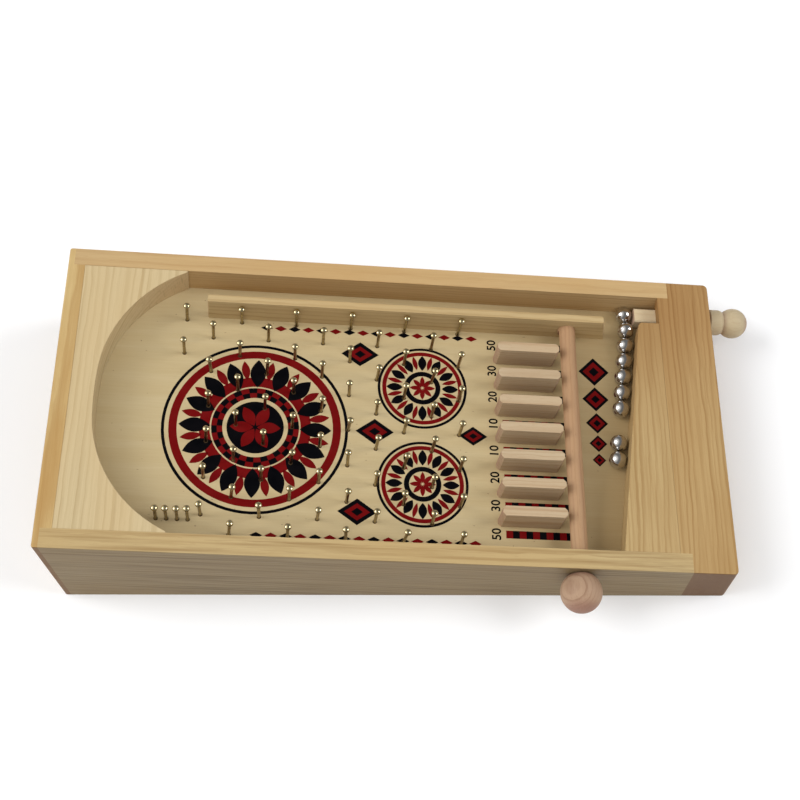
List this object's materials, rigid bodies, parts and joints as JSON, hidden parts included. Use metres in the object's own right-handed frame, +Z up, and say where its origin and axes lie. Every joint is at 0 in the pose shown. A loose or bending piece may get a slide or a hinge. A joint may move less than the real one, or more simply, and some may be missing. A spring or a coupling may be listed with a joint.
{
  "type": "bagatelle board game",
  "caption": "Sloping wooden bagatelle board with spring plunger, ball lane, arched head, brass pins, scoring channels, turning gate bar and steel balls.",
  "frame": {"origin": "middle of the case's underside, on the table it rests on", "axes": "+X from the tall head end to the low foot end, +Y towards the ball lane, +Z up"},
  "size_m": [0.4378, 0.2232, 0.0859],
  "materials": {
    "rail_pine": "planed pine with a thin satin varnish",
    "block_pine": "pale planed pine, satin",
    "printed_board": null,
    "base_board": "plain thin board, matt",
    "divider_beech": "planed beech, matt",
    "gate_beech": "turned beech, satin",
    "plunger_birch": "turned birch, satin",
    "brass_pin": "bright round-headed brass",
    "spring_steel": "drawn spring wire",
    "ball_steel": "polished"
  },
  "bodies": {
    "case": {"near_side_rail": "rail_pine", "far_side_rail": "rail_pine", "head_end_rail": "rail_pine", "foot_end_rail": "rail_pine", "playfield_board": "printed_board", "base_panel": "base_board", "head_arch_block": "block_pine", "trough_block": "block_pine", "lane_strip": "block_pine", "score_divider_1": "divider_beech", "score_divider_2": "divider_beech", "score_divider_3": "divider_beech", "score_divider_4": "divider_beech", "score_divider_5": "divider_beech", "score_divider_6": "divider_beech", "score_divider_7": "divider_beech", "pin_column_00": "brass_pin", "pin_column_01": "brass_pin", "pin_column_02": "brass_pin", "pin_column_03": "brass_pin", "pin_column_04": "brass_pin", "pin_column_05": "brass_pin", "pin_column_06": "brass_pin", "pin_column_07": "brass_pin", "pin_column_08": "brass_pin", "pin_column_09": "brass_pin", "pin_column_10": "brass_pin", "pin_fence": "brass_pin", "plunger_spring": "spring_steel"},
    "gate": {"gate_bar": "gate_beech", "gate_knob": "gate_beech"},
    "plunger": {"plunger_head": "plunger_birch", "plunger_rod": "plunger_birch", "plunger_knob": "plunger_birch"},
    "lane_ball": {"lane_ball": "ball_steel"},
    "trough_balls": {"trough_balls": "ball_steel"}
  },
  "joints": [
    {"name": "gate_turn", "type": "hinge", "parent": "case", "child": "gate", "pos_m": [0.1108, 0, 0.03948], "axis": [0, 1, 0], "continuous": true},
    {"name": "plunger_slide", "type": "slide", "parent": "case", "child": "plunger", "axis": [0.9939, 0, -0.1103], "range_m": [0, 0.017], "stiffness_N_per_m": 150, "springref_m": -0.005, "deforming": ["plunger_spring"]},
    {"name": "lane_ball_roll", "type": "slide", "parent": "case", "child": "lane_ball", "axis": [-0.9939, 0, 0.1103], "range_m": [0, 0.27]},
    {"name": "trough_balls_roll", "type": "slide", "parent": "case", "child": "trough_balls", "axis": [-0.122, -0.9924, 0.0135], "range_m": [0, 0.06]}
  ]
}
